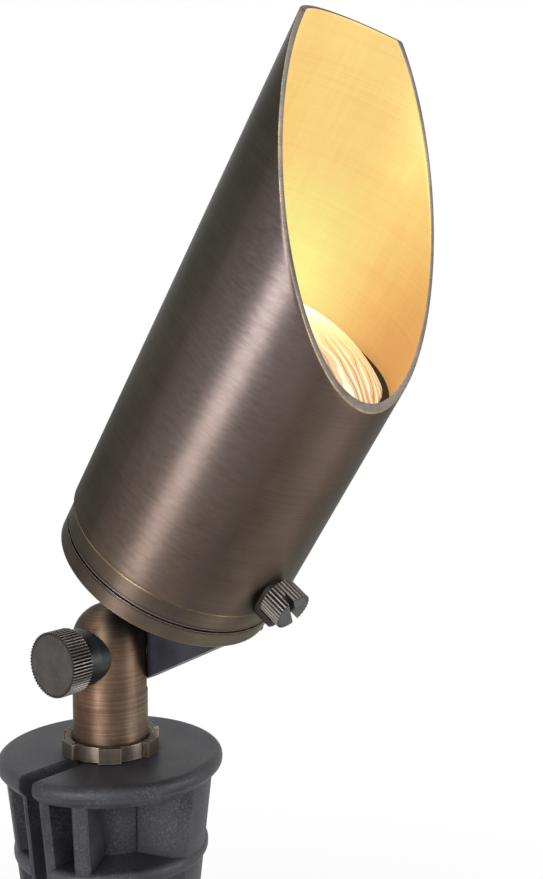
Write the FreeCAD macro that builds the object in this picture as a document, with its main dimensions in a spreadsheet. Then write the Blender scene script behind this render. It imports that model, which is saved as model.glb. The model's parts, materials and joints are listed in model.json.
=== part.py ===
"""Garden spike spotlight: a turned brass head with an oblique glare shroud, on a
tilting knuckle that screws into a moulded ground stake. Millimetres, +Z up.

The origin is on the stake's axis at the flange's top face, which is ground level.
The knuckle pivots about X, and the head leans towards -Y.
"""
import FreeCAD, Part
import math
import os
import Sketcher

doc = FreeCAD.newDocument("GardenSpikeSpotlight")

# A size that starts with = follows the sizes that it names.
SIZES = [
    # Fits shared by several pieces
    ("running_clearance", 0.06),   # radial, shaft in bore
    ("seat_gap", 0.3),             # between pieces that move past each other
    # Knuckle stem
    ("stem_radius", 10.6),
    ("stem_insertion", 22.0),
    ("pivot_height", 28.8),
    ("stem_crease", "=pivot_height + 3"),       # where the domed end starts
    ("stem_flat", 5.6),            # X of the milled flat
    ("wire_bore_radius", 4.0),
    ("outlet_radius", 1.5),
    # Ground stake
    ("flange_radius", 31.8),
    ("flange_thickness", 6.0),
    ("flange_rounding", 2.2),
    ("neck_radius", "=flange_radius - 2.3"),    # fins under the flange
    ("hub_radius", "=stem_radius + 4.4"),
    ("hub_depth", 40.0),
    ("waist_depth", 90.0),
    ("waist_radius", 20.0),
    ("stake_length", 215.0),
    ("tip_radius", 2.4),
    ("band_depth", 25.0),          # top of the rounded band between the fins
    ("band_height", 4.6),
    ("band_swell", 0.5),           # how far the band stands out of the fins
    ("band_rounding", "=0.4 * band_height"),
    ("slotted_fin_width", 10.2),
    ("broad_fin_width", 17.0),
    ("broad_fin_turn", 106.5),     # degrees from the slotted fin
    ("web_width", 4.4),
    ("web_turn", 29.5),            # degrees from the slotted fin
    ("fin_corner", 0.12),          # bevel of a fin's edges, as a share of its width
    ("stake_turn", 180.0),         # degrees from +X to the slotted fin
    ("wire_slot_width", 5.2),
    ("wire_slot_depth", 4.8),
    ("wire_channel_depth", 5.0),
    ("wire_channel_length", 64.0),
    ("slot_edge", 0.6),            # bevel along the slot and the channel
    ("socket_depth", 24.0),
    # Lock nut
    ("nut_radius", "=stem_radius + 2.2"),
    ("nut_lug_radius", "=nut_radius + 1.1"),
    ("nut_lug_width", 6.2),
    ("nut_height", 4.2),
    ("nut_bevel", 1.1),            # round the top of the bore
    ("nut_turn", 45.0),            # degrees from +X to one of its lugs
    # Clamp knob and its collar
    ("clamp_shank_radius", 3.0),
    ("collar_radius", 8.0),
    ("collar_length", 4.35),
    ("knob_radius", 9.0),
    ("knob_thickness", 6.4),
    ("knob_face", "=stem_radius + collar_length + knob_thickness"),
    ("knob_groove_depth", 0.4),
    # Head lug
    ("washer_thickness", 0.5),
    ("washer_radius", "=sqrt(stem_radius ^ 2 - stem_flat ^ 2) - 0.4"),
    ("lug_thickness", 7.5),
    ("lug_radius", 11.0),
    ("lug_edge", 0.894),           # straight edge on the low side, under the cap
    ("lug_low_reach", "=tube_offset + lug_reach"),
    ("lug_low_rise", "=cap_bottom - lug_edge"),
    # Degrees between each side and the head's axis: the sides touch the knuckle's round.
    ("lug_flare", "=(acos(lug_radius / sqrt(lug_low_reach ^ 2 + lug_low_rise ^ 2))"
                  " - atan(lug_low_rise / lug_low_reach)) / 1deg"),
    ("lug_chamber_radius", 6.4),
    ("lug_chamber_depth", 2.6),
    ("lug_wire_radius", 2.4),
    ("lug_screw_radius", 1.75),
    ("lug_screw_depth", 9.0),
    # Head
    ("head_tilt", 33.5),           # degrees from upright
    ("tube_offset", 4.5),          # head axis beside the pivot, on the low side
    ("housing_radius", 29.2),
    ("housing_wall", 2.8),
    ("cap_bottom", 33.8),          # distances along the head axis from the pivot
    ("cap_thickness", 5.2),
    ("cap_top", "=cap_bottom + cap_thickness"),
    ("cap_radius", "=housing_radius + 1"),
    ("cap_floor", 3.4),
    ("spigot_radius", "=housing_radius - 1.9"),
    ("spigot_wall", 2.3),
    ("spigot_height", 7.0),
    ("cap_inner_radius", "=spigot_radius - spigot_wall"),
    ("lug_reach", "=cap_radius - 3"),           # half width of the lug at the cap
    ("lug_screw_spread", "=0.54 * cap_inner_radius"),
    ("seal_thickness", 0.8),
    ("seal_radius", "=cap_radius - 0.7"),
    ("collar_height", 5.3),        # visible band under the shroud
    ("tube_length", 57.9),         # from that band to the lens
    ("housing_top", "=cap_top + seal_thickness + collar_height + tube_length"),
    ("ring_groove_drop", 9.0),     # from the housing's top
    ("ring_groove_height", "=housing_top - ring_groove_drop"),
    ("ring_groove_width", 2.6),
    ("ring_groove_depth", 1.3),
    # Lens and gasket
    ("lens_radius", "=housing_radius - 2.1"),
    ("lens_edge", 2.8),
    ("lens_dome", "=1.62 * lens_radius"),
    ("lens_hollow", "=1.51 * lens_radius"),
    ("lens_lip", 2.7),
    ("gasket_floor", 0.8),
    # Shroud
    ("shroud_wall", 1.5),
    ("shroud_radius", "=housing_radius + seat_gap + shroud_wall"),
    ("shroud_foot", "=cap_top + seal_thickness + collar_height + seat_gap"),
    ("shroud_low_side", 63.1),
    ("shroud_length", 133.4),
    ("shroud_low_edge", "=shroud_foot + shroud_low_side"),
    ("shroud_tip", "=shroud_foot + shroud_length"),
    ("shroud_cut_angle", 52.3),    # degrees between the oblique mouth and square
    ("shroud_screw_rise", 7.9),    # from the shroud's foot
    ("shroud_screw_height", "=shroud_foot + shroud_screw_rise"),
    ("screw_boss_radius", 3.7),
    ("screw_boss_height", 1.6),
    ("screw_boss_drop", 4.0),      # how far the boss runs on towards the cap
    ("screw_boss_lip", 3.3),       # lip on that side, beside the screw's head
    ("screw_head_radius", 5.3),
    ("screw_head_thickness", 6.2),
    ("screw_shank_radius", 2.0),
    ("screw_groove_depth", 0.35),
    ("screw_slot_width", 1.5),
    ("screw_slot_depth", 2.5),
    ("screw_slot_turn", -47.0),    # degrees from +X
    # Lamp
    ("lamp_radius", "=housing_radius - housing_wall - 1.4"),
    ("lamp_recess", 3.6),          # under the housing's top
    ("lamp_face", "=housing_top - lamp_recess"),
    ("bezel_thickness", 2.6),
    ("bezel_inner_radius", "=0.744 * lamp_radius"),
    ("bezel_slot_width", 1.8),
    ("optic_radius", "=bezel_inner_radius - 0.2"),
    ("optic_thickness", 2.4),
    ("optic_dome_radius", "=0.38 * optic_radius"),
    ("optic_dome_pitch", "=0.48 * optic_radius"),
    ("board_thickness", 1.2),
    ("chip_side", 3.5),
    ("chip_height", 1.0),
    # The heat sink takes the length that the tube leaves between lamp face and base.
    ("sink_height", "=lamp_face - bezel_thickness - base_height - socket_play"
                    " - socket_height - bracket_height - cap_bottom - cap_floor"),
    ("sink_core_radius", "=0.46 * lamp_radius"),
    ("sink_fin_width", 1.7),
    ("base_radius", "=0.75 * sink_core_radius"),
    ("base_height", 10.0),
    ("pin_radius", 0.8),
    ("pin_length", 6.6),
    ("pin_pitch", 5.3),
    # Lamp socket and its bracket
    ("socket_radius", 9.5),
    ("socket_height", 9.0),
    ("socket_play", 0.3),          # between the lamp's base and the socket
    ("bracket_height", 6.3),       # from the cap's floor to the socket
    ("bracket_thickness", 1.0),
    ("bracket_width", 10.0),
    ("bracket_span", "=1.08 * cap_inner_radius"),
    ("bracket_foot", "=0.28 * cap_inner_radius"),
    ("small_screw_radius", 1.4),
]
NUT_LUG_COUNT = 6
KNOB_GROOVE_COUNT = 60
SCREW_GROOVE_COUNT = 32
SINK_FIN_COUNT = 14
BEZEL_SLOT_COUNT = 9
EMITTER_COUNT = 3

sheet = doc.addObject("Spreadsheet::Sheet", "Sizes")
for row, (alias, value) in enumerate(SIZES, start=1):
    sheet.set("A%d" % row, alias)
    sheet.setAlias("B%d" % row, alias)
for row, (alias, value) in enumerate(SIZES, start=1):
    sheet.set("B%d" % row, str(value))
doc.recompute()
ALIASES = {alias for alias, value in SIZES}

nodes = []


# Formulas are written with the bare names of the sizes.

def formula(text):
    """The text with each size's name pointing at its cell."""
    words = []
    word = ""
    for letter in str(text) + " ":
        if letter.isalnum() or letter in "_.":
            word += letter
        else:
            words.append("Sizes." + word if word in ALIASES else word)
            words.append(letter)
            word = ""
    return "".join(words).strip()


def number(text):
    value = sheet.evalExpression(formula(text))
    return float(getattr(value, "Value", value))


def bind(thing, name, text):
    thing.setExpression(name, formula(text))


def plane(body, role):
    return [item for item in body.Origin.OriginFeatures if item.Role == role][0]


def arc(start, end, radius, turn):
    """Arc from start to end; turn is 1 anticlockwise or -1 clockwise."""
    middle = (start + end) * 0.5
    chord = end - start
    height = math.sqrt(max(radius ** 2 - (chord.Length / 2) ** 2, 0.0))
    left = FreeCAD.Vector(-chord.y, chord.x, 0).normalize()
    centre = middle + left * height * turn
    if turn < 0:
        start, end = end, start
    first = math.atan2(start.y - centre.y, start.x - centre.x)
    last = math.atan2(end.y - centre.y, end.x - centre.x)
    if last < first:
        last += 2 * math.pi
    circle = Part.Circle(centre, FreeCAD.Vector(0, 0, 1), radius)
    return Part.ArcOfCircle(circle, first, last)


def new_sketch(body, role, lift="0"):
    sketch = body.newObject("Sketcher::SketchObject", "Sketch")
    sketch.AttachmentSupport = [(plane(body, role), "")]
    sketch.MapMode = "FlatFace"
    bind(sketch, "AttachmentOffset.Base.z", lift)
    return sketch


def pin_point(sketch, edge, end, across, up):
    for kind, text in (("DistanceX", across), ("DistanceY", up)):
        index = sketch.addConstraint(Sketcher.Constraint(kind, edge, end, number(text)))
        bind(sketch, "Constraints[%d]" % index, text)


def add_outline(sketch, points):
    """A closed outline. A point is (across, up), or (across, up, radius, turn)
    where an arc starts there."""
    corners = [FreeCAD.Vector(number(p[0]), number(p[1]), 0) for p in points]
    first = sketch.GeometryCount
    count = len(points)
    starts = []
    for i, point in enumerate(points):
        start, end = corners[i], corners[(i + 1) % count]
        if len(point) == 2:
            sketch.addGeometry(Part.LineSegment(start, end), False)
            starts.append((1, 2))
        else:
            sketch.addGeometry(arc(start, end, number(point[2]), point[3]), False)
            index = sketch.addConstraint(
                Sketcher.Constraint("Radius", first + i, number(point[2])))
            bind(sketch, "Constraints[%d]" % index, point[2])
            starts.append((1, 2) if point[3] > 0 else (2, 1))
    for i, point in enumerate(points):
        following = (i + 1) % count
        sketch.addConstraint(Sketcher.Constraint(
            "Coincident", first + i, starts[i][1], first + following, starts[following][0]))
        pin_point(sketch, first + i, starts[i][0], point[0], point[1])
    return sketch


def add_circle(sketch, across, up, radius):
    centre = FreeCAD.Vector(number(across), number(up), 0)
    circle = Part.Circle(centre, FreeCAD.Vector(0, 0, 1), number(radius))
    edge = sketch.addGeometry(circle, False)
    index = sketch.addConstraint(Sketcher.Constraint("Radius", edge, number(radius)))
    bind(sketch, "Constraints[%d]" % index, radius)
    pin_point(sketch, edge, 3, across, up)
    return sketch


def new_body(label):
    return doc.addObject("PartDesign::Body", label)


def feature(body, kind, sketch):
    made = body.newObject("PartDesign::" + kind, kind)
    made.Profile = sketch
    return made


def pad(body, sketch, length, middle=False, backwards=False):
    made = feature(body, "Pad", sketch)
    bind(made, "Length", length)
    made.Midplane = middle
    made.Reversed = backwards
    doc.recompute()
    return made


def pocket(body, sketch, depth, middle=False, backwards=False):
    """A cut that has to take material away."""
    before = body.Shape.Volume
    made = feature(body, "Pocket", sketch)
    bind(made, "Length", depth)
    made.Midplane = middle
    made.Reversed = backwards
    doc.recompute()
    if not body.Shape.Volume < before - 1e-6:
        raise RuntimeError("a pocket of %s cuts nothing" % body.Label)
    return made


def revolve(body, sketch, axis="V_Axis", kind="Revolution"):
    made = feature(body, kind, sketch)
    made.ReferenceAxis = (sketch, [axis])
    made.Angle = 360
    doc.recompute()
    return made


def around(body, features, count, axis_role="Z_Axis"):
    """Copies of the features, evenly round one of the body's axes."""
    made = body.newObject("PartDesign::PolarPattern", "PolarPattern")
    made.Originals = features
    made.Axis = (plane(body, axis_role), [""])
    made.Angle = 360
    made.Occurrences = count
    body.Tip = made
    doc.recompute()
    return made


def turned(label, profile):
    """A piece turned about its own Z axis from (radius, height) points."""
    body = new_body(label)
    revolve(body, add_outline(new_sketch(body, "XZ_Plane"), profile))
    return body


def stand(thing, height="0", turn="0"):
    """Seat a piece upright on the stake's axis."""
    bind(thing, "Placement.Base.z", height)
    thing.Placement.Rotation = FreeCAD.Rotation(FreeCAD.Vector(0, 0, 1), number(turn))
    bind(thing, "Placement.Rotation.Angle", turn)
    nodes.append(thing)


def tilt(thing, side="0", across="0", along="0"):
    """Seat a piece in the head's frame: the pivot is its origin, along runs up
    the head's axis and across points away from the low side."""
    lean = "head_tilt * 1deg"
    bind(thing, "Placement.Base.x", side)
    bind(thing, "Placement.Base.y", "(%s) * cos(%s) - (%s) * sin(%s)" % (across, lean, along, lean))
    bind(thing, "Placement.Base.z",
         "pivot_height + (%s) * sin(%s) + (%s) * cos(%s)" % (across, lean, along, lean))
    thing.Placement.Rotation = FreeCAD.Rotation(FreeCAD.Vector(1, 0, 0), number("head_tilt"))
    bind(thing, "Placement.Rotation.Angle", "head_tilt")
    nodes.append(thing)


def in_tube(thing, side="0", across="0", along="0"):
    """Seat a piece on the head's tube axis."""
    tilt(thing, side, "(%s) - tube_offset" % across, along)


def turned_points(angle, points):
    """The points of an outline, turned about the sketch's origin."""
    lean = "(%s) * 1deg" % angle
    return [("(%s) * cos(%s) - (%s) * sin(%s)" % (out, lean, beside, lean),
             "(%s) * sin(%s) + (%s) * cos(%s)" % (out, lean, beside, lean))
            for out, beside in points]


def radial_bar(angle, inner, outer, width):
    """Corners of a bar that runs outwards at an angle."""
    half = "(%s) / 2" % width
    return turned_points(angle, [
        (inner, "-" + half), (outer, "-" + half), (outer, half), (inner, half)])


def loft(body, sections, kind="AdditiveLoft"):
    """Straight-sided loft through (depth, outline) sections."""
    sketches = []
    for depth, outline in sections:
        sketches.append(add_outline(new_sketch(body, "XY_Plane", "-(%s)" % depth), outline))
    made = feature(body, kind, sketches[0])
    made.Sections = sketches[1:]
    made.Ruled = True
    doc.recompute()
    return made


# Ground stake: flange, hub and core, with tapering fins and webs round them

FLANGE_WAIST = "flange_thickness * 0.6"   # where the rim starts to taper to the fins


def stake_radius(depth):
    """Radius of the fins' outer edge above the waist, as a formula."""
    fall = "(neck_radius - waist_radius) / (waist_depth - flange_thickness)"
    return "neck_radius - (%s) * ((%s) - flange_thickness)" % (fall, depth)


def fin_outline(angle, inner, radius, width):
    """A fin across the stake. It reaches past the radius that it is turned down
    to, and its bevelled corners start inside it."""
    half = "(%s) / 2" % width
    shoulder = "(%s) - (%s) ^ 2 / (8 * (%s)) - fin_corner * (%s)" % (radius, width, radius, width)
    end = "(%s) + 0.1 * (%s)" % (radius, width)
    nose = "%s - ((%s) - (%s))" % (half, end, shoulder)
    return turned_points(angle, [
        (inner, "-" + half), (shoulder, "-" + half), (end, "-(%s)" % nose),
        (end, nose), (shoulder, half), (inner, half)])


def stake_fin(body, angle, width):
    """One tapering fin from the flange down to the tip."""
    levels = (
        ("flange_thickness", "hub_radius - 2", "neck_radius", width),
        ("hub_depth", "hub_radius - 2", stake_radius("hub_depth"), width),
        ("waist_depth", "waist_radius / 4", "waist_radius", "0.4 * (%s) + 3.2" % width),
        ("stake_length", "tip_radius / 4", "tip_radius", "0.06 * (%s) + 1.5" % width))
    sections = []
    for depth, inner, radius, across in levels:
        sections.append((depth, fin_outline(angle, inner, radius, across)))
    return loft(body, sections)


def stake_core(body):
    """Flange, hub and tapering core, with the socket for the stem."""
    core = revolve(body, add_outline(new_sketch(body, "XZ_Plane"), [
        ("stem_radius + running_clearance", "0"),
        ("flange_radius", "0"),
        ("flange_radius", "-(%s)" % FLANGE_WAIST),
        ("neck_radius", "-flange_thickness"),
        ("hub_radius", "-flange_thickness"),
        ("hub_radius", "-hub_depth"),
        ("tip_radius", "-stake_length + tip_radius"),
        ("0", "-stake_length"),
        ("0", "-socket_depth"),
        ("stem_radius + running_clearance", "-socket_depth")]))
    rims = []
    for index, edge in enumerate(core.Shape.Edges, start=1):
        if getattr(edge.Curve, "Radius", 0) > number("neck_radius") + 1e-6:
            rims.append("Edge%d" % index)
    rounding = body.newObject("PartDesign::Fillet", "Fillet")
    rounding.Base = (core, rims)
    bind(rounding, "Radius", "flange_rounding")
    doc.recompute()


def stake_band(body):
    """Rounded band that ties the fins together under the flange."""
    band_bottom = "band_depth + band_height"
    band_radius = "(%s) + band_swell" % stake_radius("band_depth + band_height / 2")
    revolve(body, add_outline(new_sketch(body, "XZ_Plane"), [
        ("hub_radius - 1", "-band_depth"),
        (band_radius + " - band_rounding", "-band_depth", "band_rounding", -1),
        (band_radius, "-band_depth - band_rounding"),
        (band_radius, "-(%s) + band_rounding" % band_bottom, "band_rounding", -1),
        (band_radius + " - band_rounding", "-(%s)" % band_bottom),
        ("hub_radius - 1", "-(%s)" % band_bottom)]))


def wire_way(body):
    """Slot across the flange and channel down the slotted fin, bevelled alike."""
    half = "wire_slot_width / 2"
    slot = [
        ("-%s" % half, "-wire_slot_depth"),
        (half, "-wire_slot_depth"),
        (half, "-slot_edge"),
        (half + " + 2 * slot_edge", "slot_edge"),
        ("-%s - 2 * slot_edge" % half, "slot_edge"),
        ("-%s" % half, "-slot_edge")]
    pocket(body, add_outline(new_sketch(body, "YZ_Plane"), slot), "flange_radius + 2",
           backwards=True)
    sections = []
    for depth, radius in (
            ("-1", "flange_radius"), (FLANGE_WAIST, "flange_radius"),
            ("flange_thickness", "neck_radius"),
            ("wire_channel_length", stake_radius("wire_channel_length"))):
        floor = "(%s) - wire_channel_depth" % radius
        bevel = "(%s) - slot_edge" % radius
        mouth = "(%s) + 2 * slot_edge" % radius
        sections.append((depth, [
            (floor, "-" + half), (bevel, "-" + half), (mouth, "-%s - 3 * slot_edge" % half),
            (mouth, half + " + 3 * slot_edge"), (bevel, half), (floor, half)]))
    loft(body, sections, "SubtractiveLoft")


def ground_stake():
    body = new_body("ground_spike")
    stake_core(body)
    stake_fin(body, "0", "slotted_fin_width")
    for side in ("", "-"):
        stake_fin(body, side + "broad_fin_turn", "broad_fin_width")
        stake_fin(body, side + "web_turn", "web_width")
    stake_fin(body, "180", "web_width")
    # The fins' outer edges are turned down to the stake's taper.
    waste = [
        ("neck_radius", "-flange_thickness"),
        ("waist_radius", "-waist_depth"),
        ("tip_radius", "-stake_length"),
        ("tip_radius", "-stake_length - 5"),
        ("2 * flange_radius", "-stake_length - 5"),
        ("2 * flange_radius", "-flange_thickness")]
    revolve(body, add_outline(new_sketch(body, "XZ_Plane"), waste), kind="Groove")
    stake_band(body)
    wire_way(body)
    stand(body, turn="stake_turn")


# Knuckle stem, lock nut and clamp knob

def knuckle_stem():
    body = new_body("knuckle_stem")
    bore_top = "pivot_height - clamp_shank_radius - 1.4"
    profile = [
        ("wire_bore_radius", "-stem_insertion"),
        ("stem_radius - 0.8", "-stem_insertion"),
        ("stem_radius", "-stem_insertion + 0.8"),
        ("stem_radius", "stem_crease", "stem_radius", 1),
        ("0", "stem_crease + stem_radius"),
        ("0", bore_top),
        ("wire_bore_radius", "%s - 0.6 * wire_bore_radius" % bore_top)]
    revolve(body, add_outline(new_sketch(body, "XZ_Plane"), profile))
    shoulder = "pivot_height - lug_radius - 2 * seat_gap"
    flat = [
        ("stem_flat", shoulder),
        ("2 * stem_radius", shoulder),
        ("2 * stem_radius", "stem_crease + 2 * stem_radius"),
        ("stem_flat", "stem_crease + 2 * stem_radius")]
    pocket(body, add_outline(new_sketch(body, "XZ_Plane"), flat), "4 * stem_radius", middle=True)
    cross = add_circle(new_sketch(body, "YZ_Plane"), "0", "pivot_height",
                       "clamp_shank_radius + running_clearance")
    pocket(body, cross, "4 * stem_radius", middle=True)
    outlet = add_circle(new_sketch(body, "YZ_Plane"), "0",
                        "pivot_height - lug_chamber_radius + outlet_radius", "outlet_radius")
    pocket(body, outlet, "2 * stem_radius", backwards=True)
    stand(body)


def lock_nut():
    bore = "stem_radius + running_clearance"
    body = turned("lock_nut", [
        (bore, "0"),
        ("nut_radius", "0"),
        ("nut_radius", "nut_height"),
        (bore + " + nut_bevel", "nut_height"),
        (bore, "nut_height - nut_bevel")])
    lug = add_outline(new_sketch(body, "XY_Plane"), radial_bar(
        "0", "nut_radius - 0.8", "nut_lug_radius", "nut_lug_width"))
    around(body, [pad(body, lug, "nut_height")], NUT_LUG_COUNT)
    stand(body, "seat_gap", "nut_turn")


def knurl(body, role, start, length, radius, depth, count, backwards=False):
    """One V groove along the rim of a round head, ready to be repeated."""
    half = "(%s) * %f" % (radius, 0.8 * math.pi / count)
    notch = [
        ("-1.5 * " + half, "%s + %s / 2" % (radius, depth)),
        ("0", "%s - %s" % (radius, depth)),
        ("1.5 * " + half, "%s + %s / 2" % (radius, depth))]
    sketch = add_outline(new_sketch(body, role, start), notch)
    return pocket(body, sketch, length, backwards=backwards)


def clamp_knob():
    body = new_body("clamp_knob")
    back = "-knob_face + knob_thickness"
    reach = "stem_flat + washer_thickness + lug_thickness"
    profile = [
        ("-knob_face", "0"),
        ("-knob_face", "knob_radius"),
        (back, "knob_radius"),
        (back, "clamp_shank_radius"),
        (reach, "clamp_shank_radius"),
        (reach, "0")]
    revolve(body, add_outline(new_sketch(body, "XZ_Plane"), profile), "H_Axis")
    groove = knurl(body, "YZ_Plane", back, "knob_thickness", "knob_radius",
                   "knob_groove_depth", KNOB_GROOVE_COUNT)
    around(body, [groove], KNOB_GROOVE_COUNT, "X_Axis")
    stand(body, "pivot_height")


def clamp_collar():
    """Saddle collar that spreads the knob's thrust on the round stem."""
    body = new_body("clamp_collar")
    start = "-knob_face + knob_thickness"
    profile = [
        (start, "clamp_shank_radius + running_clearance"),
        (start, "collar_radius - 1"),
        ("-stem_radius", "collar_radius"),
        ("-stem_radius / 2", "collar_radius"),
        ("-stem_radius / 2", "clamp_shank_radius + running_clearance")]
    revolve(body, add_outline(new_sketch(body, "XZ_Plane"), profile), "H_Axis")
    round_seat = add_circle(new_sketch(body, "XY_Plane"), "0", "0", "stem_radius")
    pocket(body, round_seat, "4 * collar_radius", middle=True)
    stand(body, "pivot_height")


def friction_washer():
    body = new_body("friction_washer")
    ring = new_sketch(body, "YZ_Plane")
    add_circle(ring, "0", "0", "washer_radius")
    add_circle(ring, "0", "0", "lug_chamber_radius + 0.2")
    pad(body, ring, "washer_thickness")
    bind(body, "Placement.Base.x", "stem_flat")
    stand(body, "pivot_height")


# Head: lug, rear cap and housing

def head_lug():
    body = new_body("head_lug")
    flare = "lug_flare * 1deg"
    low = "lug_low_reach"
    high = "(lug_reach - tube_offset)"
    outline = [
        ("-lug_radius * cos(%s)" % flare, "-lug_radius * sin(%s)" % flare, "lug_radius", 1),
        ("lug_radius * cos(%s)" % flare, "-lug_radius * sin(%s)" % flare),
        (high, "(%s - lug_radius / cos(%s)) / tan(%s)" % (high, flare, flare)),
        (high, "cap_bottom"),
        ("-" + low, "cap_bottom"),
        ("-" + low, "(%s - lug_radius / cos(%s)) / tan(%s)" % (low, flare, flare))]
    pad(body, add_outline(new_sketch(body, "YZ_Plane"), outline), "lug_thickness")
    chamber = add_circle(new_sketch(body, "YZ_Plane"), "0", "0", "lug_chamber_radius")
    pocket(body, chamber, "lug_chamber_depth", backwards=True)
    thread = add_circle(new_sketch(body, "YZ_Plane"), "0", "0",
                        "clamp_shank_radius + running_clearance")
    pocket(body, thread, "lug_thickness", backwards=True)
    middle = "lug_thickness / 2"
    wire = add_circle(new_sketch(body, "XY_Plane", "cap_bottom"), middle, "0", "lug_wire_radius")
    pocket(body, wire, "cap_bottom - lug_chamber_radius + 2")
    holes = new_sketch(body, "XY_Plane", "cap_bottom")
    for sign in ("-", "+"):
        add_circle(holes, middle, "-tube_offset %s lug_screw_spread" % sign,
                   "lug_screw_radius + running_clearance")
    pocket(body, holes, "lug_screw_depth")
    tilt(body, "stem_flat + washer_thickness")


LUG_MIDDLE = "stem_flat + washer_thickness + lug_thickness / 2"
CAP_FLOOR_TOP = "cap_bottom + cap_floor"
BRACKET_SCREW_SIDE = "(bracket_span / 2 + 0.6 * bracket_foot)"


def screw(label, radius, length, head_radius, head_height):
    """Pan head screw, pointing down from its seat at height 0."""
    body = turned(label, [
        ("0", "-(%s)" % length),
        ("(%s) * 0.6" % radius, "-(%s)" % length),
        (radius, "-(%s) + (%s) * 0.5" % (length, radius)),
        (radius, "0"),
        (head_radius, "0"),
        (head_radius, "(%s) * 0.5" % head_height),
        ("(%s) * 0.75" % head_radius, head_height),
        ("0", head_height)])
    slot = radial_bar("0", "-2 * (%s)" % head_radius, "2 * (%s)" % head_radius,
                      "(%s) * 0.25" % head_radius)
    sketch = add_outline(new_sketch(body, "XY_Plane", head_height), slot)
    pocket(body, sketch, "(%s) * 0.4" % head_height)
    return body


def lug_screws():
    for index, sign in ((1, "-"), (2, "+")):
        body = screw("lug_screw_%d" % index, "lug_screw_radius",
                     "cap_floor + lug_screw_depth - 1", "1.8 * lug_screw_radius",
                     "1.2 * lug_screw_radius")
        in_tube(body, LUG_MIDDLE, "%slug_screw_spread" % sign, CAP_FLOOR_TOP)


def rear_cap():
    body = turned("rear_cap", [
        ("0", "cap_bottom"),
        ("cap_radius - 0.7", "cap_bottom"),
        ("cap_radius", "cap_bottom + 0.7"),
        ("cap_radius", "cap_top"),
        ("spigot_radius", "cap_top"),
        ("spigot_radius", "cap_top + spigot_height"),
        ("cap_inner_radius", "cap_top + spigot_height"),
        ("cap_inner_radius", CAP_FLOOR_TOP),
        ("0", CAP_FLOOR_TOP)])
    holes = new_sketch(body, "XY_Plane", CAP_FLOOR_TOP)
    add_circle(holes, LUG_MIDDLE, "tube_offset", "lug_wire_radius + 0.4")
    for sign in ("-", "+"):
        add_circle(holes, LUG_MIDDLE, "%slug_screw_spread" % sign,
                   "lug_screw_radius + running_clearance")
        add_circle(holes, sign + BRACKET_SCREW_SIDE, "0",
                   "small_screw_radius + running_clearance")
    pocket(body, holes, "cap_floor")
    in_tube(body)


def cap_seal():
    body = turned("cap_seal", [
        ("spigot_radius + running_clearance", "cap_top"),
        ("seal_radius", "cap_top"),
        ("seal_radius", "cap_top + seal_thickness"),
        ("spigot_radius + running_clearance", "cap_top + seal_thickness")])
    in_tube(body)


HOUSING_BOTTOM = "cap_top + seal_thickness"
COLLAR_TOP = "cap_top + seal_thickness + collar_height"


def lamp_housing():
    inner = "housing_radius - housing_wall"
    thread = "spigot_radius + running_clearance"
    groove_floor = "housing_radius - ring_groove_depth"
    groove_top = "ring_groove_height + ring_groove_width"
    thread_top = "cap_top + spigot_height + 1"
    body = turned("lamp_housing", [
        (thread, HOUSING_BOTTOM),
        ("cap_radius", HOUSING_BOTTOM),
        ("cap_radius", COLLAR_TOP + " - 0.4"),
        ("cap_radius - 0.4", COLLAR_TOP),
        ("housing_radius", COLLAR_TOP),
        ("housing_radius", "ring_groove_height"),
        (groove_floor, "ring_groove_height"),
        (groove_floor, groove_top),
        ("housing_radius", groove_top),
        ("housing_radius", "housing_top"),
        ("lens_radius - lens_lip + 0.8", "housing_top"),
        ("lens_radius - lens_lip + 0.8", "housing_top - 1.5"),
        (inner, "housing_top - 1.5"),
        (inner, thread_top),
        (thread, thread_top)])
    in_tube(body)


def lens_gasket():
    bore = "lens_radius + 0.05"
    floor_top = "housing_top + gasket_floor"
    top = "housing_top + gasket_floor + lens_edge + 0.3"
    body = turned("lens_gasket", [
        ("lens_radius - lens_lip + 0.8", "housing_top"),
        ("housing_radius", "housing_top"),
        ("housing_radius", top + " - 0.4"),
        ("housing_radius - 0.4", top),
        (bore, top),
        (bore, floor_top),
        ("lens_radius - lens_lip + 0.8", floor_top)])
    in_tube(body)


def front_lens():
    bottom = "housing_top + gasket_floor"
    edge_top = "housing_top + gasket_floor + lens_edge"
    hollow = "lens_radius - lens_lip"
    apex = edge_top + " + lens_dome - sqrt(lens_dome ^ 2 - lens_radius ^ 2)"
    inner_apex = bottom + " + lens_hollow - sqrt(lens_hollow ^ 2 - (%s) ^ 2)" % hollow
    body = turned("front_lens", [
        (hollow, bottom),
        ("lens_radius", bottom),
        ("lens_radius", edge_top, "lens_dome", 1),
        ("0", apex),
        ("0", inner_apex, "lens_hollow", -1)])
    in_tube(body)


# Lamp, drawn on the head's axis

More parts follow.
